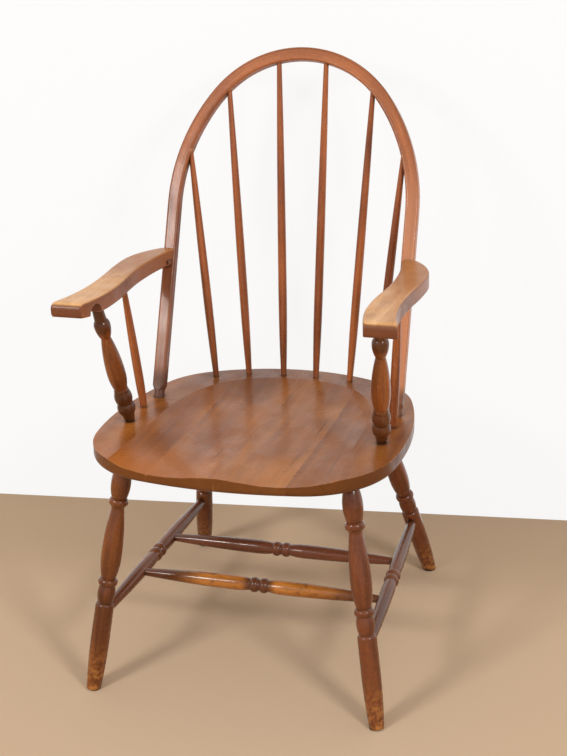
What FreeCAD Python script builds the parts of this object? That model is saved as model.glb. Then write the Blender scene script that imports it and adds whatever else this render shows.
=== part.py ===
import FreeCAD, Part
import Sketcher
import math
import os

V = FreeCAD.Vector
Rotation = FreeCAD.Rotation
Placement = FreeCAD.Placement
UP = V(0, 0, 1)
HAIR = 0.01  # lengths shorter than this count as none

doc = FreeCAD.newDocument("captains_chair")


# Driving sizes, in millimetres and degrees.
# "out" is sideways from the middle of the chair, "back" is along the seat
# from its front edge, and "up" is square off the seat's flat rim.
SEAT_SIZES = [
    ("seat_height", 443.5, "floor to the rim at the front edge"),
    ("seat_slope", 3.75, "fall of the seat towards the back"),
    ("seat_ahead", 307.9, "front edge ahead of the middle of the chair"),
    ("seat_width", 534.0, "widest part of the seat"),
    ("seat_depth", 531.0, "front edge to back edge"),
    ("seat_thickness", 27.0, "glued blank before it is hollowed"),
    ("seat_widest_back", 217.0, "where the seat is widest"),
    ("seat_front_radius", 735.0, "bow of the front edge"),
    ("seat_front_corner", 150.0, "front corners"),
    ("seat_side_radius", 575.0, "bow of the sides"),
    ("seat_rear_corner", 136.0, "rear corners"),
    ("seat_rear_radius", 340.0, "bow of the back edge"),
    ("seat_under_radius", 10.0, "rounding under the edge"),
    ("board_width", 118.0, "each middle board of the blank"),
    ("glue_line", 0.1, "gap held by glue between two pieces"),
    ("hollow_depth", 11.0, "deepest part of the saddle"),
    ("hollow_half_width", 186.0, "middle to the side of the hollow"),
    ("hollow_rear_margin", 52.0, "flat rim behind the hollow"),
    ("hollow_centre_back", 232.0, "middle of the round part of the hollow"),
    ("thigh_depth", 9.0, "thigh scoops where they leave the front edge"),
    ("hollow_wall", 0.45, "share of the bowl taken by its sloping wall"),
    ("thigh_out", 100.0, "middle of each thigh scoop"),
    ("thigh_edge_out", 198.0, "outer edge of each thigh scoop"),
    ("pommel_drop", 1.0, "top of the pommel below the rim"),
    ("saddle_overrun", 20.0, "scoop carried past the edges of the blank"),
]

LEG_SIZES = [
    ("front_leg_out", 193.7, "front leg on the seat, sideways"),
    ("front_leg_back", 112.0, "front leg on the seat"),
    ("front_leg_splay", 8.1, "lean outwards, down to the floor"),
    ("front_leg_rake", 13.3, "lean forwards, down to the floor"),
    ("rear_leg_out", 160.7, "rear leg on the seat, sideways"),
    ("rear_leg_back", 404.0, "rear leg on the seat"),
    ("rear_leg_splay", 10.2, "lean outwards, down to the floor"),
    ("rear_leg_rake", 17.6, "lean backwards, down to the floor"),
    ("leg_foot_dia", 25.0, "at the floor"),
    ("leg_shin_dia", 33.0, "fullest part of the foot taper"),
    ("leg_shin_rise", 92.0, "floor to the fullest part"),
    ("leg_shoulder_rise", 64.0, "up to the shoulder over the foot"),
    ("leg_shoulder_dia", 32.5, "shoulder over the foot"),
    ("leg_quirk_rise", 6.5, "shoulder up to the groove"),
    ("leg_quirk_dia", 25.5, "groove over the shoulder"),
    ("leg_cup_rise", 15.0, "groove up to the widest of the cup"),
    ("leg_cup_dia", 31.0, "small cup under the lower ring"),
    ("leg_cup_top_rise", 16.0, "widest of the cup up to the ring"),
    ("leg_cup_top_dia", 27.0, "top of the cup"),
    ("leg_ring_half", 7.0, "half the height of a ring"),
    ("leg_ring_dia", 34.0, "both rings"),
    ("leg_waist_dia", 25.0, "either side of the lower ring, above"),
    ("leg_baluster_rise", 42.0, "lower ring up to the widest of the baluster"),
    ("leg_baluster_dia", 36.0, "widest of the long baluster"),
    ("leg_neck_rise", 84.0, "widest of the baluster up to its neck"),
    ("leg_neck_dia", 22.5, "neck under the upper ring"),
    ("leg_collar_rise", 6.0, "neck up to the upper ring"),
    ("leg_collar_dia", 26.0, "under and over the upper ring"),
    ("leg_vase_rise", 26.0, "upper ring up to the widest of the vase"),
    ("leg_vase_dia", 34.5, "vase under the seat"),
    ("leg_vase_end", 9.0, "plain tenon showing under the seat"),
    ("leg_tenon_dia", 22.0, "round tenon in the seat"),
    ("leg_tenon_depth", 18.0, "tenon in the seat"),
]

STRETCHER_SIZES = [
    ("stretcher_height_front", 136.0, "side stretchers on the front legs"),
    ("stretcher_height_rear", 127.0, "side stretchers on the rear legs"),
    ("stretcher_short", 3.0, "tenon ends short of the middle of its socket"),
    ("side_tenon_dia", 14.5, "ends of the side stretchers"),
    ("side_swell_dia", 24.5, "fullest part of the side stretchers"),
    ("side_swell_out", 46.0, "middle of the beads to the fullest part"),
    ("side_bead_dia", 27.0, "double bead on the side stretchers"),
    ("cross_tenon_dia", 12.5, "ends of the cross stretchers"),
    ("cross_swell_dia", 26.0, "fullest part of the cross stretchers"),
    ("cross_swell_out", 44.0, "middle of the beads to the fullest part"),
    ("cross_bead_dia", 27.5, "double bead on the cross stretchers"),
    ("bead_half", 7.5, "half the length of one bead"),
    ("bead_gap_half", 1.5, "half the groove between two beads"),
    ("bead_foot_dia", 20.5, "either side of the beads"),
    ("cross_front_share", 0.334, "front cross stretcher along the side one"),
    ("cross_rear_share", 0.634, "rear cross stretcher along the side one"),
]

BACK_SIZES = [
    ("bow_foot_out", 222.0, "middle of the bow's legs, sideways"),
    ("bow_foot_back", 334.0, "middle of the bow on the seat"),
    ("bow_rake", 21.8, "lean of the bow from square to the seat"),
    ("bow_spring", 357.0, "seat to the start of the bend"),
    ("bow_rise", 634.0, "seat to the top of the bend, middle of the wood"),
    ("bow_crown_radius", 193.0, "bend at the top"),
    ("bow_width", 23.0, "wood across the front face"),
    ("bow_thickness", 20.0, "wood front to back"),
    ("bow_arris", 4.0, "softened edges"),
    ("bow_foot_rise", 12.0, "plain round above the seat"),
    ("bow_whittle", 14.0, "length of the whittled shoulder"),
    ("bow_tenon_dia", 20.0, "round tenon in the seat"),
    ("bow_tenon_depth", 18.0, "tenon in the seat"),
    ("bow_tenon_overlap", 1.0, "tenon carried into the wood above it"),
    ("spindle_inner_foot", 31.5, "middle spindles on the seat, sideways"),
    ("spindle_inner_back", 493.0, "middle spindles on the seat"),
    ("spindle_inner_top", 44.0, "middle spindles at the bow, sideways"),
    ("spindle_second_foot", 98.5, "second spindles on the seat, sideways"),
    ("spindle_second_back", 487.0, "second spindles on the seat"),
    ("spindle_second_top", 134.0, "second spindles at the bow, sideways"),
    ("spindle_outer_foot", 155.0, "outer spindles on the seat, sideways"),
    ("spindle_outer_back", 460.0, "outer spindles on the seat"),
    ("spindle_outer_top", 198.0, "outer spindles at the bow, sideways"),
    ("spindle_foot_dia", 10.5, "spindles at the seat"),
    ("spindle_swell_dia", 16.0, "fullest part of the spindles"),
    ("spindle_swell_rise", 150.0, "seat to the fullest part"),
    ("spindle_top_dia", 9.0, "spindles at the bow"),
    ("spindle_foot_depth", 15.0, "spindle in the seat"),
    ("spindle_top_depth", 12.0, "spindle in the bow"),
]

ARM_SIZES = [
    ("arm_up", 228.0, "seat rim to the underside of the arms"),
    ("arm_thickness", 28.0, "board that the arms are sawn from"),
    ("arm_tail_inner", 211.0, "inner edge where the arm meets the bow"),
    ("arm_tail_outer", 236.0, "outer edge where the arm meets the bow"),
    ("arm_elbow_inner", 227.0, "inner edge at the elbow"),
    ("arm_elbow_inner_back", 295.0, "where the inner edge is furthest out"),
    ("arm_elbow_outer", 278.0, "outer edge at the elbow"),
    ("arm_elbow_outer_back", 330.0, "where the outer edge is furthest out"),
    ("arm_waist_inner", 219.0, "inner edge at the waist"),
    ("arm_waist_inner_back", 160.0, "where the inner edge is furthest in"),
    ("arm_waist_outer", 270.0, "outer edge at the waist"),
    ("arm_waist_outer_back", 180.0, "where the outer edge is furthest in"),
    ("arm_nose_inner", 235.0, "inner corner of the nose"),
    ("arm_nose_outer", 290.5, "outer corner of the nose"),
    ("arm_nose_back", 58.0, "front of the nose"),
    ("arm_nose_round", 11.0, "roll over the front of the nose"),
    ("arm_grip_length", 24.0, "front of the nose to the start of the cove"),
    ("arm_cove_radius", 16.0, "finger cove under the arm"),
    ("arm_cove_rise", 3.0, "middle of the cove above the underside"),
    ("arm_arris", 4.0, "softened edges"),
    ("arm_nose_thinned", 4.5, "wood planed off under the front of the nose"),
    ("arm_tail_allowance", 97.0, "sawn length past the foot of the bow"),
    ("dowel_out", 218.5, "dowel through the bow, sideways"),
    ("dowel_up", 8.0, "middle of the dowel over the underside of the arm"),
    ("dowel_dia", 9.0, "dowel through the bow into the arm"),
    ("dowel_tip_dia", 5.0, "end of its domed tip"),
    ("dowel_depth", 30.0, "front of the dowel to the middle of the bow"),
    ("dowel_showing", 7.0, "dowel standing out behind the bow"),
    ("dowel_dome", 2.5, "domed tip of the dowel"),
    ("post_out", 226.5, "arm post on the seat, sideways"),
    ("post_back", 207.5, "arm post on the seat"),
    ("post_top_out", 242.5, "arm post under the arm, sideways"),
    ("post_top_back", 138.0, "arm post under the arm"),
    ("post_tenon_dia", 16.0, "round tenon of the arm post in the seat"),
    ("post_top_dia", 19.0, "round top of the arm post in the arm"),
    ("post_foot_depth", 17.0, "tenon in the seat"),
    ("post_top_depth", 14.0, "tenon in the arm"),
    ("post_foot_dia", 21.0, "arm post at the seat"),
    ("post_cone_rise", 18.0, "seat up to the bead"),
    ("post_cone_dia", 24.0, "top of the cone under the bead"),
    ("post_bead_half", 11.0, "half the height of the bead"),
    ("post_bead_dia", 32.0, "bead over the cone"),
    ("post_quirk_dia", 26.0, "groove over the bead"),
    ("post_ball_half", 12.0, "half the height of the ball"),
    ("post_ball_dia", 31.5, "ball over the bead"),
    ("post_ring_dia", 26.5, "thin ring over the ball"),
    ("post_ring_rise", 8.0, "height of the thin ring"),
    ("post_waist_dia", 23.5, "foot of the baluster"),
    ("post_baluster_rise", 32.0, "foot of the baluster up to its widest"),
    ("post_baluster_dia", 32.5, "widest of the baluster"),
    ("post_neck_rise", 73.0, "widest of the baluster up to its neck"),
    ("post_neck_dia", 16.5, "neck of the baluster"),
    ("post_knop_rise", 26.0, "neck up to the widest of the top knop"),
    ("post_knop_dia", 28.5, "knop under the arm"),
    ("post_knop_top_rise", 10.0, "widest of the knop up to its cap"),
    ("post_cap_dia", 21.0, "cap under the arm"),
    ("arm_spindle_out", 229.5, "arm spindle on the seat, sideways"),
    ("arm_spindle_back", 279.0, "arm spindle on the seat"),
    ("arm_spindle_top_out", 244.5, "arm spindle under the arm, sideways"),
    ("arm_spindle_top_back", 258.0, "arm spindle under the arm"),
    ("arm_spindle_foot_dia", 12.0, "arm spindle at the seat"),
    ("arm_spindle_swell_dia", 16.0, "fullest part of the arm spindle"),
    ("arm_spindle_swell_rise", 62.0, "seat to the fullest part"),
    ("arm_spindle_top_dia", 9.0, "arm spindle under the arm"),
    ("arm_spindle_foot_depth", 15.0, "arm spindle in the seat"),
    ("arm_spindle_top_depth", 14.0, "arm spindle in the arm"),
]


def make_sheet(name, rows):
    """A sheet of named sizes, one row each: name, size, what it is."""
    sheet = doc.addObject("Spreadsheet::Sheet", name)
    for row, (alias, value, note) in enumerate(rows, start=1):
        sheet.set("A%d" % row, alias)
        sheet.set("B%d" % row, "%.6f" % value)
        sheet.set("C%d" % row, note)
        sheet.setAlias("B%d" % row, alias)
    return sheet


SIZES = SEAT_SIZES + LEG_SIZES + STRETCHER_SIZES + BACK_SIZES + ARM_SIZES
make_sheet("Sizes", SIZES)
size = {alias: value for alias, value, note in SIZES}
doc.recompute()


def degrees_tan(alias):
    return math.tan(math.radians(size[alias]))


# The seat's own frame: x sideways, y back along the rim, z square off it.
seat_frame = Placement(
    V(0, -size["seat_ahead"], size["seat_height"]),
    Rotation(V(1, 0, 0), -size["seat_slope"]),
)


def on_seat(out, back, up=0.0):
    """A point given in the seat's frame, in the chair's frame."""
    return seat_frame.multVec(V(out, back, up))


def along(start, end):
    """A placement at start whose z axis points at end."""
    return Placement(start, Rotation(UP, end - start))


def where_leg_meets_seat(which, side):
    return on_seat(side * size[which + "_leg_out"], size[which + "_leg_back"])


def leg_direction(which, side):
    """Unit vector up the leg, from the floor to the seat."""
    forward = 1 if which == "front" else -1
    lean_in = -side * degrees_tan(which + "_leg_splay")
    lean_back = forward * degrees_tan(which + "_leg_rake")
    return V(lean_in, lean_back, 1).normalize()


def leg_point(which, side, height):
    """The middle of the leg at a height over the floor."""
    top = where_leg_meets_seat(which, side)
    rise = leg_direction(which, side)
    return top + rise * ((height - top.z) / rise.z)


def side_stretcher_ends(side):
    front = leg_point("front", side, size["stretcher_height_front"])
    rear = leg_point("rear", side, size["stretcher_height_rear"])
    pull = (rear - front).normalize() * size["stretcher_short"]
    return front + pull, rear - pull


def cross_stretcher_ends(which):
    share = size["cross_" + which + "_share"]
    ends = []
    for side in (-1, 1):
        front = leg_point("front", side, size["stretcher_height_front"])
        rear = leg_point("rear", side, size["stretcher_height_rear"])
        ends.append(front + (rear - front) * share)
    pull = (ends[1] - ends[0]).normalize() * size["stretcher_short"]
    return ends[0] + pull, ends[1] - pull


# The bow's own frame: x sideways, z up the middle of the bow, y behind it.
bow_frame = seat_frame.multiply(
    Placement(
        V(0, size["bow_foot_back"], 0),
        Rotation(V(1, 0, 0), -size["bow_rake"]),
    )
)


def bow_side_arc():
    """Radius of the bend between the straight leg and the crown."""
    half = size["bow_foot_out"]
    crown = size["bow_crown_radius"]
    drop = size["bow_rise"] - crown - size["bow_spring"]
    return (half * half + drop * drop - crown * crown) / (2 * (half - crown))


def bow_inner_height(out):
    """Height, up the bow, of the middle of its underside."""
    half_wood = size["bow_width"] / 2
    crown = size["bow_crown_radius"]
    crown_z = size["bow_rise"] - crown
    side = bow_side_arc()
    side_x = size["bow_foot_out"] - side
    join = (crown_z - size["bow_spring"]) / (side - crown)
    join_x = math.sqrt(1 - join * join) * (crown - half_wood)
    if out < join_x:
        inner = crown - half_wood
        return crown_z + math.sqrt(inner * inner - out * out)
    inner = side - half_wood
    reach = out - side_x
    return size["bow_spring"] + math.sqrt(inner * inner - reach * reach)


def spindle_ends(which, side):
    """Where a back spindle leaves the seat and where it meets the bow."""
    foot = on_seat(
        side * size["spindle_" + which + "_foot"],
        size["spindle_" + which + "_back"],
    )
    out = size["spindle_" + which + "_top"]
    top = bow_frame.multVec(V(side * out, 0, bow_inner_height(out)))
    return foot, top


def arm_spindle_ends(side):
    foot = on_seat(side * size["arm_spindle_out"], size["arm_spindle_back"])
    top = on_seat(
        side * size["arm_spindle_top_out"],
        size["arm_spindle_top_back"],
        size["arm_up"],
    )
    return foot, top


def post_ends(side):
    foot = on_seat(side * size["post_out"], size["post_back"])
    top = on_seat(
        side * size["post_top_out"], size["post_top_back"], size["arm_up"]
    )
    return foot, top


def leg_length(which):
    foot = leg_point(which, 1, 0)
    tenon = leg_direction(which, 1) * leg_top_offset(which)
    return (where_leg_meets_seat(which, 1) + tenon - foot).Length


def leg_top_offset(which):
    """From the rim plane to the end of the tenon, measured up the leg."""
    square = leg_direction(which, 1).dot(seat_frame.Rotation.multVec(UP))
    return size["leg_tenon_depth"] - size["seat_thickness"] / square


WORKED = []


def worked(alias, value, note):
    """Keep a length that follows from the driving sizes."""
    size[alias] = value
    WORKED.append((alias, value, note))


# Turned stretches whose lengths add up to the reach between two pieces.
LEG_STATIONS = [
    ("leg_shin_rise", "leg_shin_dia", "level_end"),
    ("leg_shoulder_rise", "leg_shoulder_dia", "level_start"),
    ("leg_quirk_rise", "leg_quirk_dia", "level_start"),
    ("leg_cup_rise", "leg_cup_dia", "level_end"),
    ("leg_cup_top_rise", "leg_cup_top_dia", "level_start"),
    ("leg_ring_half", "leg_ring_dia", "level_end"),
    ("leg_ring_half", "leg_waist_dia", "level_start"),
    ("leg_baluster_rise", "leg_baluster_dia", "level_end"),
    ("leg_neck_rise", "leg_neck_dia", "level_start"),
    ("leg_collar_rise", "leg_collar_dia", "level_start"),
    ("leg_ring_half", "leg_ring_dia", "level_end"),
    ("leg_ring_half", "leg_collar_dia", "level_start"),
    ("leg_vase_rise", "leg_vase_dia", "level_end"),
]
turned_height = sum(size[rise] for rise, dia, kind in LEG_STATIONS)
for which in ("front", "rear"):
    length = leg_length(which)
    tenon = size["leg_tenon_depth"] + size["leg_vase_end"]
    worked(which + "_leg_tenon", tenon, "plain top of the leg")
    worked(
        which + "_leg_vase_top",
        length - turned_height - tenon,
        "widest of the vase up to the plain top",
    )

for name, ends in (
    ("side", side_stretcher_ends(1)),
    ("cross_front", cross_stretcher_ends("front")),
    ("cross_rear", cross_stretcher_ends("rear")),
):
    kind = name.split("_")[0]
    half = (ends[1] - ends[0]).Length / 2
    worked(name + "_half", half, "half the stretcher")
    worked(name + "_taper", half - size[kind + "_swell_out"], "end to swell")
for kind in ("side", "cross"):
    beads = 2 * size["bead_half"] + size["bead_gap_half"]
    worked(kind + "_shoulder", size[kind + "_swell_out"] - beads, "swell to bead")

for which in ("inner", "second", "outer"):
    foot, top = spindle_ends(which, 1)
    worked(
        "spindle_%s_upper" % which,
        (top - foot).Length - size["spindle_swell_rise"],
        "fullest part up to the bow",
    )
foot, top = arm_spindle_ends(1)
worked(
    "arm_spindle_upper",
    (top - foot).Length - size["arm_spindle_swell_rise"],
    "fullest part up to the arm",
)
foot, top = post_ends(1)
POST_RISES = (
    ["post_cone_rise"]
    + ["post_bead_half"] * 2
    + ["post_ball_half"] * 2
    + ["post_ring_rise", "post_baluster_rise", "post_neck_rise"]
    + ["post_knop_rise", "post_knop_top_rise"]
)
worked(
    "post_cap_rise",
    (top - foot).Length - sum(size[rise] for rise in POST_RISES),
    "cap up to the arm",
)
through_bow = size["bow_thickness"] / 2 / math.cos(math.radians(size["bow_rake"]))
worked(
    "dowel_reach",
    size["dowel_depth"] + through_bow + size["dowel_showing"],
    "straight part of the dowel",
)
make_sheet("Worked", WORKED)
doc.recompute()
HOME = {alias: "Worked" for alias, value, note in WORKED}


def cell(alias):
    """The expression that reads a named size."""
    return "%s.%s" % (HOME.get(alias, "Sizes"), alias)


def new_body(label, frame):
    body = doc.addObject("PartDesign::Body", label)
    body.Label = label
    body.Placement = frame
    return body


def sketch_on(body, role):
    """A sketch on one of the body's own planes."""
    sketch = body.newObject("Sketcher::SketchObject", body.Name + "_sketch")
    planes = [f for f in body.Origin.OriginFeatures if f.Role == role]
    sketch.AttachmentSupport = [(planes[0], "")]
    sketch.MapMode = "FlatFace"
    return sketch


def tie(sketch, constraint, expression):
    """Add a constraint whose size comes from the sheet."""
    index = sketch.addConstraint(constraint)
    sketch.setExpression("Constraints[%d]" % index, expression)


def pin(sketch, edge, end, point, from_out, from_up):
    """Tie both distances of a point from the sketch's origin to the sheet."""
    across = (-1, 1, edge, end) if point.x > 0 else (edge, end, -1, 1)
    tie(sketch, Sketcher.Constraint("DistanceX", *across, abs(point.x)), from_out)
    tie(sketch, Sketcher.Constraint("DistanceY", -1, 1, edge, end, point.y), from_up)


def arc_between(low, high, level):
    """An arc from low to high whose centre is level with one of them."""
    wide = max(low.x, high.x)
    rise = abs(high.y - low.y)
    reach = abs(high.x - low.x)
    radius = (rise * rise + reach * reach) / (2 * reach)
    near = low if level == "level_start" else high
    bulges = near.x == wide
    centre = V(near.x - radius if bulges else near.x + radius, near.y, 0)
    circle = Part.Circle(centre, UP, radius)
    first, last = (low, high) if bulges else (high, low)
    start = math.atan2(first.y - centre.y, first.x - centre.x)
    stop = math.atan2(last.y - centre.y, last.x - centre.x)
    return Part.ArcOfCircle(circle, start, stop), bulges


def turned(label, frame, foot_dia, stations):
    """A turned piece: a half outline spun round the body's z axis."""
    body = new_body(label, frame)
    sketch = sketch_on(body, "XZ_Plane")
    at = V(size[foot_dia] / 2, 0, 0)
    floor_edge = sketch.addGeometry(Part.LineSegment(V(0, 0, 0), at))
    sketch.addConstraint(Sketcher.Constraint("Coincident", floor_edge, 1, -1, 1))
    sketch.addConstraint(Sketcher.Constraint("Horizontal", floor_edge))
    tie(
        sketch,
        Sketcher.Constraint("DistanceX", -1, 1, floor_edge, 2, at.x),
        cell(foot_dia) + " / 2",
    )
    end = (floor_edge, 2)
    for rise, dia, kind in stations:
        to = V(size[dia] / 2, at.y + size[rise], 0)
        if kind == "straight" or abs(to.x - at.x) < HAIR:
            edge = sketch.addGeometry(Part.LineSegment(at, to))
            low, high = 1, 2
        else:
            arc, bulges = arc_between(at, to, kind)
            edge = sketch.addGeometry(arc)
            low, high = (1, 2) if bulges else (2, 1)
            level = low if kind == "level_start" else high
            sketch.addConstraint(
                Sketcher.Constraint("Horizontal", edge, 3, edge, level)
            )
        sketch.addConstraint(Sketcher.Constraint("Coincident", end[0], end[1], edge, low))
        tie(
            sketch,
            Sketcher.Constraint("DistanceY", edge, low, edge, high, size[rise]),
            cell(rise),
        )
        tie(
            sketch,
            Sketcher.Constraint("DistanceX", -1, 1, edge, high, to.x),
            cell(dia) + " / 2",
        )
        end = (edge, high)
        at = to
    top_edge = sketch.addGeometry(Part.LineSegment(at, V(0, at.y, 0)))
    axis_edge = sketch.addGeometry(Part.LineSegment(V(0, at.y, 0), V(0, 0, 0)))
    for pair in (
        (end[0], end[1], top_edge, 1),
        (top_edge, 2, axis_edge, 1),
        (axis_edge, 2, floor_edge, 1),
    ):
        sketch.addConstraint(Sketcher.Constraint("Coincident", *pair))
    sketch.addConstraint(Sketcher.Constraint("Horizontal", top_edge))
    sketch.addConstraint(Sketcher.Constraint("PointOnObject", top_edge, 2, -2))
    turning = body.newObject("PartDesign::Revolution", label + "_turning")
    turning.Profile = sketch
    turning.ReferenceAxis = (sketch, ["V_Axis"])
    turning.Angle = 360
    sketch.Visibility = False
    return body


def bore(body, start, end, dia, name="socket"):
    """A round socket in a body, from start to end in the chair's frame."""
    hole = body.newObject("PartDesign::SubtractiveCylinder", body.Name + "_" + name)
    hole.setExpression("Radius", "%s / 2 + Sizes.glue_line" % cell(dia))
    hole.Height = (end - start).Length
    hole.Placement = body.Placement.inverse().multiply(along(start, end))
    return hole


def trim(body, corner, lengths, frame, name):
    """Cut a block, placed in the given frame, off a body."""
    block = body.newObject("PartDesign::SubtractiveBox", body.Name + "_" + name)
    for side, length in zip(("Length", "Width", "Height"), lengths):
        block.setExpression(side, length)
    place = frame.multiply(Placement(corner, Rotation()))
    block.Placement = body.Placement.inverse().multiply(place)
    return block


SIDES = (("left", -1), ("right", 1))
parts = []


def deeper(start, end, more):
    """The end of a socket, moved past a tenon's end."""
    return end + (end - start).normalize() * more


# The seat: a glued blank, saddled on top, rounded under its edge.
def seat_outline_arcs():
    """The five kinds of arc round the seat, as centre, radius and ends."""
    front_centre = V(0, size["seat_front_radius"], 0)
    rear_centre = V(0, size["seat_depth"] - size["seat_rear_radius"], 0)
    side_centre = V(
        size["seat_width"] / 2 - size["seat_side_radius"],
        size["seat_widest_back"],
        0,
    )
    corners = []
    for centre, radius, corner, pick in (
        (front_centre, size["seat_front_radius"], size["seat_front_corner"], -1),
        (rear_centre, size["seat_rear_radius"], size["seat_rear_corner"], 1),
    ):
        first = Part.Circle(centre, UP, abs(radius - corner))
        second = Part.Circle(side_centre, UP, size["seat_side_radius"] - corner)
        meets = first.intersect(second)
        corners.append(max(meets, key=lambda point: point.X))
    front_corner = V(corners[0].X, corners[0].Y, 0)
    rear_corner = V(corners[1].X, corners[1].Y, 0)
    return front_centre, front_corner, side_centre, rear_corner, rear_centre


def touch(big_centre, small_centre, small_radius):
    """Where a small arc leaves the larger arc that it is tangent to."""
    away = (small_centre - big_centre).normalize()
    return small_centre + away * small_radius


def mirrored(point):
    return V(-point.x, point.y, 0)


def arc_through(centre, radius, first, last):
    start = math.atan2(first.y - centre.y, first.x - centre.x)
    stop = math.atan2(last.y - centre.y, last.x - centre.x)
    return Part.ArcOfCircle(Part.Circle(centre, UP, radius), start, stop)


def draw_seat_outline(sketch):
    front, front_corner, side, rear_corner, rear = seat_outline_arcs()
    front_radius = size["seat_front_radius"]
    rear_radius = size["seat_rear_radius"]
    side_radius = size["seat_side_radius"]
    front_round = size["seat_front_corner"]
    rear_round = size["seat_rear_corner"]
    joins = [
        touch(front, front_corner, front_round),
        touch(side, front_corner, front_round),
        touch(side, rear_corner, rear_round),
        touch(rear, rear_corner, rear_round),
    ]
    others = [mirrored(point) for point in joins]
    arcs = [
        (front, front_radius, others[0], joins[0]),
        (front_corner, front_round, joins[0], joins[1]),
        (side, side_radius, joins[1], joins[2]),
        (rear_corner, rear_round, joins[2], joins[3]),
        (rear, rear_radius, joins[3], others[3]),
        (mirrored(rear_corner), rear_round, others[3], others[2]),
        (mirrored(side), side_radius, others[2], others[1]),
        (mirrored(front_corner), front_round, others[1], others[0]),
    ]
    edges = [sketch.addGeometry(arc_through(*arc)) for arc in arcs]
    for index, edge in enumerate(edges):
        following = edges[(index + 1) % len(edges)]
        sketch.addConstraint(Sketcher.Constraint("Tangent", edge, 2, following, 1))
    radii = {
        0: "seat_front_radius",
        1: "seat_front_corner",
        2: "seat_side_radius",
        3: "seat_rear_corner",
        4: "seat_rear_radius",
        5: "seat_rear_corner",
        6: "seat_side_radius",
        7: "seat_front_corner",
    }
    for index, alias in radii.items():
        tie(
            sketch,
            Sketcher.Constraint("Radius", edges[index], size[alias]),
            cell(alias),
        )
    for index in (0, 4):
        sketch.addConstraint(Sketcher.Constraint("PointOnObject", edges[index], 3, -2))
    tie(
        sketch,
        Sketcher.Constraint("DistanceY", -1, 1, edges[0], 3, front_radius),
        "Sizes.seat_front_radius",
    )
    tie(
        sketch,
        Sketcher.Constraint("DistanceY", -1, 1, edges[4], 3, rear.y),
        "Sizes.seat_depth - Sizes.seat_rear_radius",
    )
    for index in (2, 6):
        tie(
            sketch,
            Sketcher.Constraint("DistanceY", -1, 1, edges[index], 3, side.y),
            "Sizes.seat_widest_back",
        )
    tie(
        sketch,
        Sketcher.Constraint("DistanceX", edges[2], 3, -1, 1, -side.x),
        "Sizes.seat_side_radius - Sizes.seat_width / 2",
    )
    tie(
        sketch,
        Sketcher.Constraint("DistanceX", -1, 1, edges[6], 3, -side.x),
        "Sizes.seat_side_radius - Sizes.seat_width / 2",
    )


def smooth(value):
    """An easy curve from 0 to 1."""
    value = min(max(value, 0.0), 1.0)
    return value * value * (3 - 2 * value)


def bowl_at(out, back):
    """The round part of the hollow: below the rim inside, above it outside."""
    rear_reach = size["seat_depth"] - size["hollow_rear_margin"]
    centre = size["hollow_centre_back"]
    across = abs(out) / size["hollow_half_width"]
    behind = max(back - centre, 0.0) / (rear_reach - centre)
    squareness = 2.5
    spread = (across**squareness + behind**squareness) ** (1 / squareness)
    inward = min((1 - spread) / size["hollow_wall"], 1.0)
    return size["hollow_depth"] * inward * (2 - inward)


def scoops_at(out):
    """The two thigh scoops, with the pommel left between them."""
    middle = size["thigh_out"]
    if abs(out) < middle:
        rise = smooth(1 - abs(out) / middle)
        return size["thigh_depth"] + rise * (size["pommel_drop"] - size["thigh_depth"])
    beyond = (abs(out) - middle) / (size["thigh_edge_out"] - middle)
    return size["thigh_depth"] * (1 - beyond * beyond)


def hollow_at(out, back):
    """Depth of the saddle below the rim."""
    centre = size["hollow_centre_back"]
    ahead = smooth((centre - back) / centre)
    return bowl_at(out, back) * (1 - ahead) + scoops_at(out) * ahead


def saddle_tool():
    """The wood that is scooped out of the blank, up to well over the rim."""
    overrun = size["saddle_overrun"]
    half = size["seat_width"] / 2 + overrun
    rows, columns = 23, 23
    grid = []
    for row in range(rows):
        back = (size["seat_depth"] + 2 * overrun) * row / (rows - 1) - overrun
        line = []
        for column in range(columns):
            out = -half + 2 * half * column / (columns - 1)
            line.append(V(out, back, -hollow_at(out, back)))
        grid.append(line)
    surface = Part.BSplineSurface()
    surface.interpolate(grid)
    return surface.toShape().extrude(V(0, 0, 2 * size["seat_thickness"]))


blank = new_body("seat_blank", seat_frame)
outline = sketch_on(blank, "XY_Plane")
draw_seat_outline(outline)
plank = blank.newObject("PartDesign::Pad", "seat_plank")
plank.Profile = outline
plank.setExpression("Length", "Sizes.seat_thickness")
plank.Reversed = True
doc.recompute()
under_edges = [
    "Edge%d" % (index + 1)
    for index, edge in enumerate(plank.Shape.Edges)
    if edge.BoundBox.ZMax < -size["seat_thickness"] + HAIR
]
rounding = blank.newObject("PartDesign::Fillet", "seat_under_rounding")
rounding.Base = (plank, under_edges)
rounding.setExpression("Radius", "Sizes.seat_under_radius")
doc.recompute()

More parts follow.
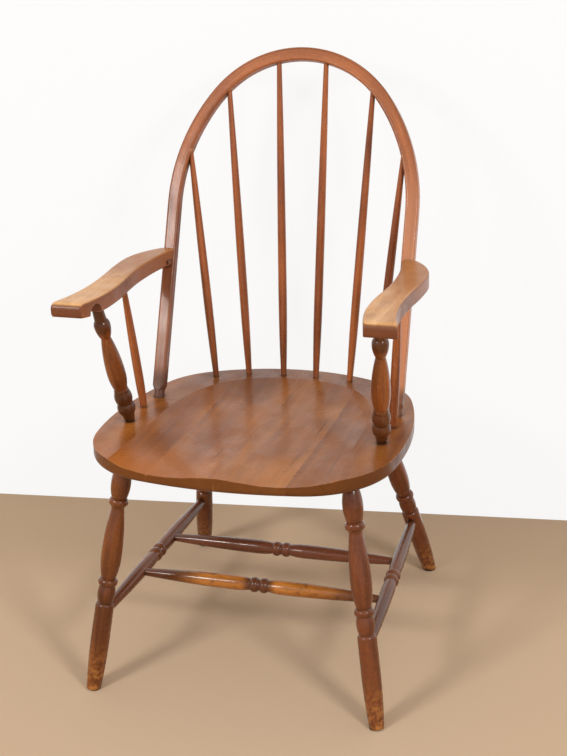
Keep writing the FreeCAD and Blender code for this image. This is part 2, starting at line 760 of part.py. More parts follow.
for label, side in SIDES:
    for which in ("front", "rear"):
        rise = leg_direction(which, side)
        start = where_leg_meets_seat(which, side)
        end = start + rise * leg_top_offset(which)
        start = end - rise * 3 * size["leg_tenon_depth"]
        bore(blank, start, deeper(start, end, size["glue_line"]), "leg_tenon_dia")
    for ends, depth, dia in (
        (post_ends(side), "post_foot_depth", "post_tenon_dia"),
        (arm_spindle_ends(side), "arm_spindle_foot_depth", "arm_spindle_foot_dia"),
        (spindle_ends("inner", side), "spindle_foot_depth", "spindle_foot_dia"),
        (spindle_ends("second", side), "spindle_foot_depth", "spindle_foot_dia"),
        (spindle_ends("outer", side), "spindle_foot_depth", "spindle_foot_dia"),
    ):
        down = (ends[0] - ends[1]).normalize()
        bottom = ends[0] + down * (size[depth] + size["glue_line"])
        bore(blank, ends[0] - down * size[depth], bottom, dia)
    foot = bow_frame.multVec(V(side * size["bow_foot_out"], 0, 0))
    down = bow_frame.Rotation.multVec(-UP)
    bottom = foot + down * (size["bow_tenon_depth"] + size["glue_line"])
    bore(blank, foot - down * size["bow_tenon_depth"], bottom, "bow_tenon_dia")
doc.recompute()

saddle = doc.addObject("Part::Feature", "saddle_scoop")
saddle.Shape = saddle_tool()
saddle.Placement = seat_frame
saddled = doc.addObject("Part::Cut", "saddled_blank")
saddled.Base = blank
saddled.Tool = saddle
doc.recompute()

# The blank is four boards, glued edge to edge, their grain front to back.
outer_board = size["seat_width"]
board_edges = [
    -outer_board,
    -size["board_width"],
    0.0,
    size["board_width"],
    outer_board,
]
for index in range(len(board_edges) - 1):
    first, last = board_edges[index], board_edges[index + 1]
    half_gap = size["glue_line"] / 2
    board = doc.addObject("Part::Box", "board_stock_%d" % (index + 1))
    board.Length = last - first - 2 * half_gap
    board.setExpression("Width", "Sizes.seat_depth * 2")
    board.setExpression("Height", "Sizes.seat_thickness * 3")
    corner = V(first + half_gap, -size["seat_depth"] / 2, -2 * size["seat_thickness"])
    board.Placement = seat_frame.multiply(Placement(corner, Rotation()))
    piece = doc.addObject("Part::Common", "seat_board_%d" % (index + 1))
    piece.Label = "seat_board_%d" % (index + 1)
    piece.Base = saddled
    piece.Tool = board
    parts.append(piece)
doc.recompute()


# The four legs share one turning and differ only in their reach.
for which in ("front", "rear"):
    for label, side in SIDES:
        foot = leg_point(which, side, 0)
        rise = leg_direction(which, side)
        frame = Placement(foot, Rotation(UP, rise))
        top = [
            (which + "_leg_vase_top", "leg_tenon_dia", "level_start"),
            (which + "_leg_tenon", "leg_tenon_dia", "straight"),
        ]
        leg = turned("leg_%s_%s" % (which, label), frame, "leg_foot_dia", LEG_STATIONS + top)
        parts.append(leg)
        spread = 2 * size["leg_foot_dia"]
        corner = V(foot.x - spread, foot.y - spread, -spread)
        wide, deep = "Sizes.leg_foot_dia * 4", "Sizes.leg_foot_dia * 2"
        trim(leg, corner, (wide, wide, deep), Placement(), "floor_cut")
        ends = side_stretcher_ends(side)
        near, far = ends if which == "front" else (ends[1], ends[0])
        inside = near + (far - near).normalize() * size["leg_baluster_dia"]
        bore(leg, inside, deeper(inside, near, size["glue_line"]), "side_tenon_dia")


def stretcher_stations(name, kind):
    """Taper, swell, two beads, swell and taper."""
    half = [
        (name + "_taper", kind + "_swell_dia", "level_end"),
        (kind + "_shoulder", "bead_foot_dia", "level_start"),
        ("bead_half", kind + "_bead_dia", "level_end"),
        ("bead_half", "bead_foot_dia", "level_start"),
    ]
    groove = [("bead_gap_half", "bead_foot_dia", "straight")] * 2
    back = [
        ("bead_half", kind + "_bead_dia", "level_end"),
        ("bead_half", "bead_foot_dia", "level_start"),
        (kind + "_shoulder", kind + "_swell_dia", "level_end"),
        (name + "_taper", kind + "_tenon_dia", "level_start"),
    ]
    return half + groove + back


for label, side in SIDES:
    start, end = side_stretcher_ends(side)
    stretcher = turned(
        "side_stretcher_" + label,
        along(start, end),
        "side_tenon_dia",
        stretcher_stations("side", "side"),
    )
    parts.append(stretcher)
    for which in ("front", "rear"):
        ends = cross_stretcher_ends(which)
        near, far = ends if side < 0 else (ends[1], ends[0])
        inside = near + (far - near).normalize() * size["side_swell_dia"]
        bore(
            stretcher,
            inside,
            deeper(inside, near, size["glue_line"]),
            "cross_tenon_dia",
        )
for which in ("front", "rear"):
    start, end = cross_stretcher_ends(which)
    parts.append(
        turned(
            "cross_stretcher_" + which,
            along(start, end),
            "cross_tenon_dia",
            stretcher_stations("cross_" + which, "cross"),
        )
    )


# The bow: one bent stick, its ends whittled to round tenons in the seat.
def draw_bow_path(sketch):
    half = size["bow_foot_out"]
    crown = size["bow_crown_radius"]
    crown_centre = V(0, size["bow_rise"] - crown, 0)
    side = bow_side_arc()
    side_centre = V(half - side, size["bow_spring"], 0)
    join = touch(side_centre, crown_centre, crown)
    foot = V(half, size["bow_foot_rise"], 0)
    spring = V(half, size["bow_spring"], 0)
    shapes = [
        Part.LineSegment(foot, spring),
        arc_through(side_centre, side, spring, join),
        arc_through(crown_centre, crown, join, mirrored(join)),
        arc_through(mirrored(side_centre), side, mirrored(join), mirrored(spring)),
        Part.LineSegment(mirrored(spring), mirrored(foot)),
    ]
    edges = [sketch.addGeometry(shape) for shape in shapes]
    for first, second in zip(edges, edges[1:]):
        sketch.addConstraint(Sketcher.Constraint("Tangent", first, 2, second, 1))
    sketch.addConstraint(Sketcher.Constraint("Vertical", edges[0]))
    sketch.addConstraint(Sketcher.Constraint("Vertical", edges[4]))
    sketch.addConstraint(Sketcher.Constraint("PointOnObject", edges[2], 3, -2))
    for constraint, alias in (
        (("DistanceX", -1, 1, edges[0], 1, half), "bow_foot_out"),
        (("DistanceX", edges[4], 2, -1, 1, half), "bow_foot_out"),
        (("DistanceY", -1, 1, edges[0], 1, foot.y), "bow_foot_rise"),
        (("DistanceY", -1, 1, edges[4], 2, foot.y), "bow_foot_rise"),
        (("DistanceY", -1, 1, edges[0], 2, spring.y), "bow_spring"),
        (("DistanceY", -1, 1, edges[4], 1, spring.y), "bow_spring"),
        (("Radius", edges[2], crown), "bow_crown_radius"),
    ):
        tie(sketch, Sketcher.Constraint(*constraint), cell(alias))
    tie(
        sketch,
        Sketcher.Constraint("DistanceY", -1, 1, edges[2], 3, crown_centre.y),
        "Sizes.bow_rise - Sizes.bow_crown_radius",
    )


def draw_bow_section(sketch):
    """A rectangle with softened corners round the foot of the path."""
    middle = size["bow_foot_out"]
    half_x = size["bow_width"] / 2
    half_y = size["bow_thickness"] / 2
    round_off = size["bow_arris"]
    corners = [(1, 1), (-1, 1), (-1, -1), (1, -1)]
    arcs = []
    for index, (right, back) in enumerate(corners):
        centre = V(
            middle + right * (half_x - round_off), back * (half_y - round_off), 0
        )
        circle = Part.Circle(centre, UP, round_off)
        start = index * math.pi / 2
        arcs.append(
            sketch.addGeometry(Part.ArcOfCircle(circle, start, start + math.pi / 2))
        )
    for index, arc in enumerate(arcs):
        following = arcs[(index + 1) % 4]
        straight = "Horizontal" if index % 2 == 0 else "Vertical"
        line = sketch.addGeometry(
            Part.LineSegment(
                sketch.getPoint(arc, 2),
                sketch.getPoint(following, 1),
            )
        )
        sketch.addConstraint(Sketcher.Constraint("Tangent", arc, 2, line, 1))
        sketch.addConstraint(Sketcher.Constraint("Tangent", line, 2, following, 1))
        sketch.addConstraint(Sketcher.Constraint(straight, line))
        tie(sketch, Sketcher.Constraint("Radius", arc, round_off), "Sizes.bow_arris")
    for constraint, expression in (
        (
            ("DistanceX", -1, 1, arcs[0], 3, middle + half_x - round_off),
            "Sizes.bow_foot_out + Sizes.bow_width / 2 - Sizes.bow_arris",
        ),
        (
            ("DistanceX", -1, 1, arcs[1], 3, middle - half_x + round_off),
            "Sizes.bow_foot_out - Sizes.bow_width / 2 + Sizes.bow_arris",
        ),
        (
            ("DistanceY", -1, 1, arcs[0], 3, half_y - round_off),
            "Sizes.bow_thickness / 2 - Sizes.bow_arris",
        ),
        (
            ("DistanceY", arcs[3], 3, -1, 1, half_y - round_off),
            "Sizes.bow_thickness / 2 - Sizes.bow_arris",
        ),
    ):
        tie(sketch, Sketcher.Constraint(*constraint), expression)


bow = new_body("bow", bow_frame)
bow_path = sketch_on(bow, "XZ_Plane")
draw_bow_path(bow_path)
bow_section = sketch_on(bow, "XY_Plane")
bow_section.setExpression("AttachmentOffset.Base.z", "Sizes.bow_foot_rise")
draw_bow_section(bow_section)
bent = bow.newObject("PartDesign::AdditivePipe", "bow_bend")
bent.Profile = bow_section
bent.Spine = (bow_path, ["Edge%d" % (index + 1) for index in range(5)])
doc.recompute()

for label, side in SIDES:
    tenon = bow.newObject("PartDesign::AdditiveCylinder", "bow_tenon_" + label)
    tenon.setExpression("Radius", "Sizes.bow_tenon_dia / 2")
    tenon.setExpression(
        "Height",
        "Sizes.bow_tenon_depth + Sizes.bow_foot_rise + Sizes.bow_tenon_overlap",
    )
    tenon.Placement = Placement(
        V(side * size["bow_foot_out"], 0, -size["bow_tenon_depth"]), Rotation()
    )
doc.recompute()
for label, side in SIDES:
    ring = sketch_on(bow, "XZ_Plane")
    tenon_edge = size["bow_foot_out"] + size["bow_tenon_dia"] / 2
    wood_edge = size["bow_foot_out"] + size["bow_width"] / 2 + size["bow_arris"]
    clear = size["bow_foot_out"] + size["bow_width"]
    low = size["bow_foot_rise"]
    below = low - size["bow_tenon_overlap"]
    high = low + size["bow_whittle"]
    from_tenon = "Sizes.bow_foot_out + Sizes.bow_tenon_dia / 2"
    from_wood = "Sizes.bow_foot_out + Sizes.bow_width / 2 + Sizes.bow_arris"
    from_clear = "Sizes.bow_foot_out + Sizes.bow_width"
    from_below = "Sizes.bow_foot_rise - Sizes.bow_tenon_overlap"
    from_high = "Sizes.bow_foot_rise + Sizes.bow_whittle"
    corners = [
        (tenon_edge, below, from_tenon, from_below),
        (tenon_edge, low, from_tenon, "Sizes.bow_foot_rise"),
        (wood_edge, high, from_wood, from_high),
        (clear, high, from_clear, from_high),
        (clear, below, from_clear, from_below),
    ]
    points = [V(side * out, up, 0) for out, up, from_out, from_up in corners]
    for index, point in enumerate(points):
        following = points[(index + 1) % len(points)]
        ring.addGeometry(Part.LineSegment(point, following))
    for index, (out, up, from_out, from_up) in enumerate(corners):
        ring.addConstraint(
            Sketcher.Constraint("Coincident", index, 2, (index + 1) % len(corners), 1)
        )
        pin(ring, index, 1, points[index], from_out, from_up)
    middle = V(side * size["bow_foot_out"], 0, 0)
    axis = ring.addGeometry(Part.LineSegment(middle, middle + V(0, high, 0)), True)
    ring.addConstraint(Sketcher.Constraint("PointOnObject", axis, 1, -1))
    ring.addConstraint(Sketcher.Constraint("Vertical", axis))
    tie(ring, Sketcher.Constraint("DistanceY", axis, 1, axis, 2, high), from_high)
    across = (-1, 1, axis, 1) if side > 0 else (axis, 1, -1, 1)
    tie(
        ring,
        Sketcher.Constraint("DistanceX", *across, size["bow_foot_out"]),
        "Sizes.bow_foot_out",
    )
    whittling = bow.newObject("PartDesign::Groove", "bow_whittling_" + label)
    whittling.Profile = ring
    whittling.ReferenceAxis = (ring, ["Axis0"])
    whittling.Angle = 360
doc.recompute()
for label, side in SIDES:
    for which in ("inner", "second", "outer"):
        foot, top = spindle_ends(which, side)
        end = deeper(foot, top, size["spindle_top_depth"] + size["glue_line"])
        start = deeper(foot, top, -2 * size["spindle_top_depth"])
        bore(bow, start, end, "spindle_top_dia")
parts.append(bow)


# Eight turned spindles: six in the back and one under each arm.
for which in ("inner", "second", "outer"):
    for label, side in SIDES:
        foot, top = spindle_ends(which, side)
        down = (foot - top).normalize()
        start = foot + down * size["spindle_foot_depth"]
        parts.append(
            turned(
                "back_spindle_%s_%s" % (which, label),
                along(start, top),
                "spindle_foot_dia",
                [
                    ("spindle_foot_depth", "spindle_foot_dia", "straight"),
                    ("spindle_swell_rise", "spindle_swell_dia", "level_end"),
                    ("spindle_%s_upper" % which, "spindle_top_dia", "level_start"),
                    ("spindle_top_depth", "spindle_top_dia", "straight"),
                ],
            )
        )
for label, side in SIDES:
    foot, top = arm_spindle_ends(side)
    down = (foot - top).normalize()
    start = foot + down * size["arm_spindle_foot_depth"]
    parts.append(
        turned(
            "arm_spindle_" + label,
            along(start, top),
            "arm_spindle_foot_dia",
            [
                ("arm_spindle_foot_depth", "arm_spindle_foot_dia", "straight"),
                ("arm_spindle_swell_rise", "arm_spindle_swell_dia", "level_end"),
                ("arm_spindle_upper", "arm_spindle_top_dia", "level_start"),
                ("arm_spindle_top_depth", "arm_spindle_top_dia", "straight"),
            ],
        )
    )


# The arm posts: cone, bead, ball, ring, baluster and knop.
for label, side in SIDES:
    foot, top = post_ends(side)
    down = (foot - top).normalize()
    start = foot + down * size["post_foot_depth"]
    parts.append(
        turned(
            "arm_post_" + label,
            along(start, top),
            "post_tenon_dia",
            [
                ("post_foot_depth", "post_tenon_dia", "straight"),
                ("post_cone_rise", "post_cone_dia", "straight"),
                ("post_bead_half", "post_bead_dia", "level_end"),
                ("post_bead_half", "post_quirk_dia", "level_start"),
                ("post_ball_half", "post_ball_dia", "level_end"),
                ("post_ball_half", "post_ring_dia", "level_start"),
                ("post_ring_rise", "post_waist_dia", "level_start"),
                ("post_baluster_rise", "post_baluster_dia", "level_end"),
                ("post_neck_rise", "post_neck_dia", "level_start"),
                ("post_knop_rise", "post_knop_dia", "level_end"),
                ("post_knop_top_rise", "post_cap_dia", "level_start"),
                ("post_cap_rise", "post_top_dia", "straight"),
                ("post_top_depth", "post_top_dia", "straight"),
            ],
        )
    )


# The arms: sawn from a board in a double curve, with a rolled nose.
def arm_points(side):
    """Corners and turning points of the arm seen from above.

    Each is (x, y, where x comes from, where y comes from, edge that follows).
    """
    tail = "Sizes.bow_foot_back + Sizes.arm_tail_allowance"
    tail_back = size["bow_foot_back"] + size["arm_tail_allowance"]
    points = []

    def add(out, back, edge):
        points.append((side * size[out], size[back], cell(out), cell(back), edge))

    def add_tail(out, edge):
        points.append((side * size[out], tail_back, cell(out), tail, edge))

    add_tail("arm_tail_inner", "square_last")
    add("arm_elbow_inner", "arm_elbow_inner_back", "s_bend")
    add("arm_waist_inner", "arm_waist_inner_back", "square_first")
    add("arm_nose_inner", "arm_nose_back", "line")
    add("arm_nose_outer", "arm_nose_back", "square_last")
    add("arm_waist_outer", "arm_waist_outer_back", "s_bend")
    add("arm_elbow_outer", "arm_elbow_outer_back", "square_first")
    add_tail("arm_tail_outer", "line")
    full = []
    for index, point in enumerate(points):
        x, y, from_x, from_y, edge = point
        if edge != "s_bend":
            full.append(point)
            continue
        after = points[index + 1]
        full.append((x, y, from_x, from_y, "square_first"))
        full.append(
            (
                (x + after[0]) / 2,
                (y + after[1]) / 2,
                "(%s + %s) / 2" % (from_x, after[2]),
                "(%s + %s) / 2" % (from_y, after[3]),
                "square_last",
            )
        )
    return full


def add_edge(sketch, first, last, kind):
    """Draw a line, or an arc square to the front at one of its ends."""
    if kind == "line":
        return sketch.addGeometry(Part.LineSegment(first, last)), 1, 2
    square, other = (first, last) if kind == "square_first" else (last, first)
    rise = other.y - square.y
    reach = other.x - square.x
    radius = (rise * rise + reach * reach) / (2 * abs(reach))
    centre = V(square.x + math.copysign(radius, reach), square.y, 0)
    turn = (first - centre).cross(last - centre).z
    start, stop = (first, last) if turn > 0 else (last, first)
    edge = sketch.addGeometry(arc_through(centre, radius, start, stop))
    low, high = (1, 2) if turn > 0 else (2, 1)
    level = low if kind == "square_first" else high
    sketch.addConstraint(Sketcher.Constraint("Horizontal", edge, 3, edge, level))
    return edge, low, high


def draw_arm(sketch, side):
    points = arm_points(side)
    ends = []
    for index, (x, y, from_x, from_y, kind) in enumerate(points):
        following = points[(index + 1) % len(points)]
        ends.append(add_edge(sketch, V(x, y, 0), V(following[0], following[1], 0), kind))
    for index, (edge, low, high) in enumerate(ends):
        following = ends[(index + 1) % len(ends)]
        sketch.addConstraint(
            Sketcher.Constraint("Coincident", edge, high, following[0], following[1])
        )
        x, y, from_x, from_y, kind = points[index]
        pin(sketch, edge, low, V(x, y, 0), from_x, from_y)


def named_edges(feature, wanted):
    """Names of the feature's edges for which wanted(edge) holds."""
    return [
        "Edge%d" % (index + 1)
        for index, edge in enumerate(feature.Shape.Edges)
        if wanted(edge)
    ]


def is_nose_edge(edge):
    box = edge.BoundBox
    level = box.ZLength < HAIR and box.YLength < HAIR
    return level and abs(box.YMin - size["arm_nose_back"]) < HAIR


def is_arm_arris(edge):
    """Long edges down both sides and round the nose, not the tail end."""
    box = edge.BoundBox
    across = box.YLength < HAIR and box.ZLength < HAIR
    upright = box.YLength < HAIR and box.XLength < HAIR
    seam = upright and box.YMin > size["arm_nose_back"] + HAIR
    tail_start = size["bow_foot_back"] + degrees_tan("bow_rake") * size["arm_up"]
    at_tail = box.YMin > tail_start - size["bow_thickness"]
    return not (across or seam or at_tail)


def dowel_start(side):
    """Where the dowel ends inside the arm."""
    middle = size["arm_up"] + size["dowel_up"]
    back = size["bow_foot_back"] + degrees_tan("bow_rake") * middle
    return on_seat(side * size["dowel_out"], back - size["dowel_depth"], middle)


backward = seat_frame.Rotation.multVec(V(0, 1, 0))
for label, side in SIDES:
    frame = seat_frame.multiply(Placement(V(0, 0, size["arm_up"]), Rotation()))
    arm = new_body("arm_" + label, frame)
    plan = sketch_on(arm, "XY_Plane")
    draw_arm(plan, side)
    board = arm.newObject("PartDesign::Pad", "arm_board_" + label)
    board.Profile = plan
    board.setExpression("Length", "Sizes.arm_thickness")
    doc.recompute()
    reach = 4 * size["arm_thickness"]
    front_of_bow = -size["bow_thickness"] / 2 - size["glue_line"]
    middle = side * size["bow_foot_out"]
    corner = V(middle - reach, front_of_bow, size["bow_spring"] / 2)
    lengths = ("Sizes.arm_thickness * 8", "Sizes.arm_thickness * 4", "Sizes.bow_spring")
    trim(arm, corner, lengths, bow_frame, "tail_cut")
    doc.recompute()
    sawn = arm.Tip
    nose = arm.newObject("PartDesign::Fillet", "arm_nose_" + label)
    nose.Base = (sawn, named_edges(sawn, is_nose_edge))
    nose.setExpression("Radius", "Sizes.arm_nose_round")
    doc.recompute()
    arris = arm.newObject("PartDesign::Fillet", "arm_arris_" + label)
    arris.Base = (nose, named_edges(nose, is_arm_arris))
    arris.setExpression("Radius", "Sizes.arm_arris")
    doc.recompute()
    cove_back = size["arm_nose_back"] + size["arm_grip_length"] + size["arm_cove_radius"]
    thinned = math.degrees(
        math.atan2(size["arm_nose_thinned"], cove_back - size["arm_nose_back"])
    )
    slope = Placement(V(0, cove_back, size["arm_up"]), Rotation(V(1, 0, 0), -thinned))
    corner = V(-size["seat_width"], -size["seat_depth"], -size["arm_thickness"])
    lengths = ("Sizes.seat_width * 2", "Sizes.seat_depth", "Sizes.arm_thickness")
    trim(arm, corner, lengths, seat_frame.multiply(slope), "nose_thinning")
    cove = arm.newObject("PartDesign::SubtractiveCylinder", "arm_cove_" + label)
    cove.setExpression("Radius", "Sizes.arm_cove_radius")
    cove.setExpression("Height", "Sizes.arm_nose_outer")
    cove.Placement = Placement(
        V(
            (side - 1) / 2 * size["arm_nose_outer"] + side * size["arm_nose_inner"] / 2,
            cove_back,
            size["arm_cove_rise"],
        ),
        Rotation(UP, V(1, 0, 0)),
    )
    for ends, depth, dia in (
        (post_ends(side), "post_top_depth", "post_top_dia"),
        (arm_spindle_ends(side), "arm_spindle_top_depth", "arm_spindle_top_dia"),
    ):
        foot, top = ends
        end = deeper(foot, top, size[depth] + size["glue_line"])
        bore(arm, deeper(foot, top, -size[depth]), end, dia)
    start = dowel_start(side)
    inside = start - backward * size["glue_line"]
    through = start + backward * (size["dowel_depth"] + 2 * size["bow_thickness"])
    bore(arm, inside, through, "dowel_dia")
    bore(bow, inside, through, "dowel_dia")
    parts.append(arm)
    parts.append(
        turned(
            "arm_dowel_" + label,
            Placement(start, Rotation(UP, backward)),
            "dowel_dia",
            [
                ("dowel_reach", "dowel_dia", "straight"),
                ("dowel_dome", "dowel_tip_dia", "level_start"),
            ],
        )
    )


doc.recompute()
broken = [item.Label for item in doc.Objects if {"Invalid", "Error"} & set(item.State)]
for part in parts:
    if part.Shape.isNull() or not part.Shape.isValid():
        broken.append(part.Label)
if broken:
    raise RuntimeError("not built: " + ", ".join(sorted(set(broken))))

os.makedirs("parts", exist_ok=True)
for part in parts:
    part.Shape.exportStep("parts/%s.step" % part.Label)
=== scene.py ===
import bpy
import math
import numpy as np
from mathutils import Matrix, Vector

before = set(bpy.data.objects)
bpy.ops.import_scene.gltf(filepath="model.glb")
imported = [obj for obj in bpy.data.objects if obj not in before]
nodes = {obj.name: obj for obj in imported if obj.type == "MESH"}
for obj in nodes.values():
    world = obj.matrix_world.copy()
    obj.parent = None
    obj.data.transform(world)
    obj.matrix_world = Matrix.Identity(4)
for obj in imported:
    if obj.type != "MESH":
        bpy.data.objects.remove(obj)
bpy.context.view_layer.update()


# The room: a pale floor and a white wall close behind the chair, lit by two
# soft lamps, one on either side of the camera, and by the bright room itself.
def node(tree, kind, feeds=None, **settings):
    """A shader node, its settings, and what each of its sockets is fed."""
    made = tree.nodes.new("ShaderNode" + kind)
    for name, value in settings.items():
        setattr(made, name, value)
    for where, what in (feeds or {}).items():
        socket = made.inputs[where]
        if isinstance(what, bpy.types.NodeSocket):
            tree.links.new(what, socket)
        else:
            socket.default_value = what
    return made


def paint(red, green, blue):
    """A colour given as 0 to 255 on a paint card."""
    card = [channel / 255 for channel in (red, green, blue)]
    light = [c / 12.92 if c < 0.04045 else ((c + 0.055) / 1.055) ** 2.4 for c in card]
    return (*light, 1.0)


def new_material(name):
    material = bpy.data.materials.new(name)
    material.use_nodes = True
    material.node_tree.nodes.clear()
    return material, material.node_tree


def flat_sheet(name, corners, material):
    mesh = bpy.data.meshes.new(name)
    mesh.from_pydata(corners, [], [tuple(range(len(corners)))])
    mesh.materials.append(material)
    sheet = bpy.data.objects.new(name, mesh)
    bpy.context.scene.collection.objects.link(sheet)
    return sheet


def room_paint(name, colour, roughness, glow=0.0):
    """Matt paint that shows from its front only, so every side can be seen.

    glow is how far it is washed out to white for the camera.
    """
    material, tree = new_material(name)
    matt = node(tree, "BsdfDiffuse", {"Color": colour, "Roughness": roughness})
    white = node(tree, "Emission", {"Strength": 1.0})
    ray = node(tree, "LightPath").outputs
    seen = node(
        tree,
        "Math",
        {0: ray["Is Camera Ray"], 1: ray["Is Glossy Ray"]},
        operation="MAXIMUM",
    )
    share = node(tree, "Math", {0: seen.outputs[0], 1: glow}, operation="MULTIPLY")
    paint_mix = node(
        tree,
        "MixShader",
        {0: share.outputs[0], 1: matt.outputs[0], 2: white.outputs[0]},
    )
    clear = node(tree, "BsdfTransparent")
    facing = node(tree, "NewGeometry")
    shown = node(
        tree,
        "MixShader",
        {0: facing.outputs["Backfacing"], 1: paint_mix.outputs[0], 2: clear.outputs[0]},
    )
    node(tree, "OutputMaterial", {"Surface": shown.outputs[0]})
    return material


room_width = 9.0
wall_left = Vector((-0.760, 0.345, 0.0))
wall_right = Vector((0.475, 0.476, 0.0))
wall_run = (wall_right - wall_left).normalized()
wall_ends = [wall_left - wall_run * room_width, wall_right + wall_run * room_width]
rise = Vector((0, 0, 4.0))  # as high as a tall room
flat_sheet(
    "floor",
    [(-room_width, -room_width, 0), (room_width, -room_width, 0),
     (room_width, room_width, 0), (-room_width, room_width, 0)],
    room_paint("floor_paint", paint(198, 173, 146), 0.4),
)
flat_sheet(
    "wall",
    [wall_ends[0], wall_ends[1], wall_ends[1] + rise, wall_ends[0] + rise],
    room_paint("wall_paint", paint(240, 238, 234), 0.5, glow=0.85),
)

world = bpy.data.worlds.new("room_light")
world.use_nodes = True
bpy.context.scene.world = world
sky = world.node_tree
sky.nodes.clear()
soft = node(sky, "Background", {"Color": (1.0, 0.99, 0.97, 1.0), "Strength": 0.60})
node(sky, "OutputWorld", {"Surface": soft.outputs[0]})


def lamp(name, place, target, size, power, colour):
    light = bpy.data.lights.new(name, "AREA")
    light.shape = "RECTANGLE"
    light.size, light.size_y = size
    light.energy = power
    light.color = colour
    holder = bpy.data.objects.new(name, light)
    holder.location = place
    aim = Vector(target) - Vector(place)
    holder.rotation_euler = aim.to_track_quat("-Z", "Y").to_euler()
    bpy.context.scene.collection.objects.link(holder)


middle = (0.0, 0.0, 0.55)
lamp("left_lamp", (-1.5, -2.5, 2.3), middle, (0.7, 0.7), 46, (1.0, 0.98, 0.95))
lamp("right_lamp", (2.3, -1.9, 2.2), middle, (0.6, 0.6), 40, (1.0, 0.98, 0.95))

# The camera stands to the right of the chair, looks down at it and leans.
turn_right = 0.3145
look_down = 0.4043
lean = -0.0523
photo_height = 756
photo_lens = 1500  # the same focal length, in the photo's own units
back = Vector(
    (
        math.sin(turn_right) * math.cos(look_down),
        -math.cos(turn_right) * math.cos(look_down),
        math.sin(look_down),
    )
)
level = Vector((math.cos(turn_right), math.sin(turn_right), 0))
upright = back.cross(level)
across = level * math.cos(lean) + upright * math.sin(lean)
upward = upright * math.cos(lean) - level * math.sin(lean)
camera_data = bpy.data.cameras.new("photo_view")
camera_data.sensor_fit = "VERTICAL"
camera_data.sensor_height = 36
camera_data.lens = camera_data.sensor_height * photo_lens / photo_height
camera = bpy.data.objects.new("photo_view", camera_data)
camera.matrix_world = Matrix.Translation((0.7750, -2.2978, 1.5224)) @ Matrix(
    (across, upward, back)
).transposed().to_4x4()
bpy.context.scene.collection.objects.link(camera)
bpy.context.scene.camera = camera
bpy.context.scene.view_settings.view_transform = "Standard"


# The seat: four boards of a pale hardwood glued edge to edge, stained brown,
# hollowed as a saddle and varnished. Use has rubbed the rim pale, the sawn
# edge and the back are darker, and short drying checks follow the grain.
def calc(tree, operation, *values, clamp=False):
    made = node(tree, "Math", dict(enumerate(values)), operation=operation)
    made.use_clamp = clamp
    return made.outputs[0]


def between(tree, value, low, high, out_low=0.0, out_high=1.0):
    """How far a value lies between two levels, eased at both ends."""
    made = node(
        tree,
        "MapRange",
        {"Value": value, "From Min": low, "From Max": high,
         "To Min": out_low, "To Max": out_high},
        interpolation_type="SMOOTHSTEP",
    )
    return made.outputs["Result"]


def mix(tree, share, first, second, way="MIX"):
    made = node(tree, "Mix", {0: share, 6: first, 7: second}, data_type="RGBA")
    made.blend_type = way
    made.clamp_factor = True
    return made.outputs[2]


def stretch(tree, vector, scale):
    made = node(tree, "VectorMath", {0: vector, 1: scale}, operation="MULTIPLY")
    return made.outputs[0]


def slid(tree, vector, shift):
    made = node(tree, "VectorMath", {0: vector, 1: shift}, operation="ADD")
    return made.outputs[0]


def axes(tree, vector):
    """The three parts of a vector: out, deep and along."""
    return node(tree, "SeparateXYZ", {0: vector}).outputs


def facing(tree):
    """Which way the surface looks, as its three parts."""
    return axes(tree, node(tree, "NewGeometry").outputs["Normal"])


def stain(tree, share, strength, under, over):
    """Lay one colour over another, where share says, at most this strong."""
    return mix(tree, calc(tree, "MULTIPLY", share, strength), under, over)


def cloud(tree, vector, scale, detail=2.0, roughness=0.5, twist=0.0):
    made = node(
        tree,
        "TexNoise",
        {"Vector": vector, "Scale": scale, "Detail": detail,
         "Roughness": roughness, "Distortion": twist},
    )
    return made.outputs["Fac"]


def new_group(name, takes, gives):
    """An empty node group: each socket is a name, a type and a first value."""
    tree = bpy.data.node_groups.new(name, "ShaderNodeTree")
    types = {"colour": "NodeSocketColor", "number": "NodeSocketFloat",
             "vector": "NodeSocketVector"}
    for title, kind, value in takes:
        socket = tree.interface.new_socket(
            name=title, in_out="INPUT", socket_type=types[kind]
        )
        if value is not None:
            socket.default_value = value
    for title, kind in gives:
        tree.interface.new_socket(
            name=title, in_out="OUTPUT", socket_type=types[kind]
        )
    entry = tree.nodes.new("NodeGroupInput")
    leaving = tree.nodes.new("NodeGroupOutput")
    return tree, entry.outputs, leaving.inputs


